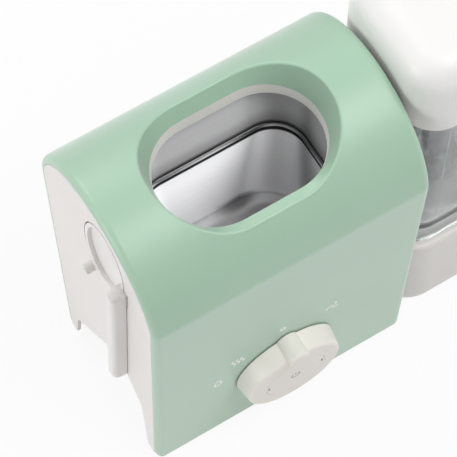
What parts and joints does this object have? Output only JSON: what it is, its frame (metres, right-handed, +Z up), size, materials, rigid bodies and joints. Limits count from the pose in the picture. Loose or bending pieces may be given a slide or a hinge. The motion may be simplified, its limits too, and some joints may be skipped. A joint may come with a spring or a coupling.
{
  "type": "steam cooker and blender",
  "caption": "Countertop baby-food steam cooker with an arched housing, steel steam tank under a funnel mouth, selector knob, stored spatula and a blending bowl beside it.",
  "frame": {"origin": "under the middle of the whole object's box, on the table that the feet stand on", "axes": "+X to the user's right along the row from steam tank to blending bowl, +Y to the back away from the knob, +Z up"},
  "size_m": [0.321, 0.1378, 0.285],
  "materials": {
    "green_shell": "satin mint-green moulded plastic",
    "white_plastic": "satin warm-white moulded plastic",
    "knob_white": "satin off-white moulded plastic",
    "seal_white": "soft off-white silicone",
    "steel": "brushed stainless steel",
    "blade_steel": "ground stainless steel",
    "cast_alloy": "plain cast alloy",
    "sheath": "heat-darkened tube",
    "inner_plastic": "plain dark moulded plastic",
    "frame_plastic": "heat-proof grey moulded plastic",
    "board_green": "lacquered circuit board",
    "foot_rubber": "soft dark rubber",
    "clear_bowl": "clear moulded bowl",
    "screw_steel": "zinc-plated steel",
    "motor_steel": "plain plated steel",
    "magnet": "dull sintered ferrite",
    "copper": "bare copper",
    "bronze": "oil-filled sintered bronze"
  },
  "bodies": {
    "housing": {"outer_wrap": "green_shell", "left_side_panel": "white_plastic", "right_side_panel": "white_plastic", "tank_rim_seal": "seal_white", "steam_tank": "steel", "tank_frame": "frame_plastic", "heating_plate": "cast_alloy", "heater_element": "sheath", "thermostat": "inner_plastic", "thermal_fuse": "inner_plastic", "base_tray": "white_plastic", "base_feet": "foot_rubber", "control_board": "board_green", "cord_gland": "inner_plastic", "rotary_switch": "inner_plastic", "switch_nut": "screw_steel", "motor_base": "white_plastic", "motor_base_cover": "white_plastic", "motor_bracket": "motor_steel", "motor_can": "motor_steel", "motor_end_bell": "inner_plastic", "motor_magnets": "magnet", "brush_card": "inner_plastic", "shaft_seal": "foot_rubber", "tray_screws": "screw_steel", "cover_screws": "screw_steel", "bracket_screws": "screw_steel", "can_screws": "screw_steel", "bridge_screws": "screw_steel", "upper_bearing": "bronze", "lower_bearing": "bronze"},
    "knob": {"control_knob": "knob_white", "knob_cap": "knob_white", "selector_shaft": "screw_steel"},
    "rotor": {"motor_shaft": "screw_steel", "rotor_core": "motor_steel", "commutator": "copper", "drive_coupling": "inner_plastic"},
    "bowl": {"mixing_bowl": "clear_bowl", "bowl_handle": "white_plastic", "bowl_bush": "bronze"},
    "blades": {"blade_shaft": "screw_steel", "blade_collar": "frame_plastic", "blade": "blade_steel", "blade_cap": "frame_plastic", "driven_coupling": "frame_plastic"},
    "lid": {"bowl_lid": "white_plastic", "lid_seal": "seal_white"},
    "spatula": {"spatula": "white_plastic"}
  },
  "joints": [
    {"name": "knob_turn", "type": "hinge", "parent": "housing", "child": "knob", "pos_m": [-0.06425, -0.05088, 0.064], "axis": [0, -0.9994, -0.0356], "range_deg": [-40, 70]},
    {"name": "motor_spin", "type": "hinge", "parent": "housing", "child": "rotor", "pos_m": [0.07795, 0.0065, 0.043], "axis": [0, 0, 1], "continuous": true},
    {"name": "bowl_lift", "type": "slide", "parent": "housing", "child": "bowl", "axis": [0, 0, 1], "range_m": [0, 0.12]},
    {"name": "blade_spin", "type": "hinge", "parent": "bowl", "child": "blades", "pos_m": [0.07795, 0.0065, 0.103], "axis": [0, 0, 1], "continuous": true},
    {"name": "lid_lift", "type": "slide", "parent": "bowl", "child": "lid", "axis": [0, 0, 1], "range_m": [0, 0.1]},
    {"name": "spatula_pull", "type": "slide", "parent": "housing", "child": "spatula", "axis": [-1, 0, 0], "range_m": [0, 0.06]}
  ],
  "couplings": [
    {"joint": "blade_spin", "follows": "motor_spin", "ratio": 1}
  ]
}
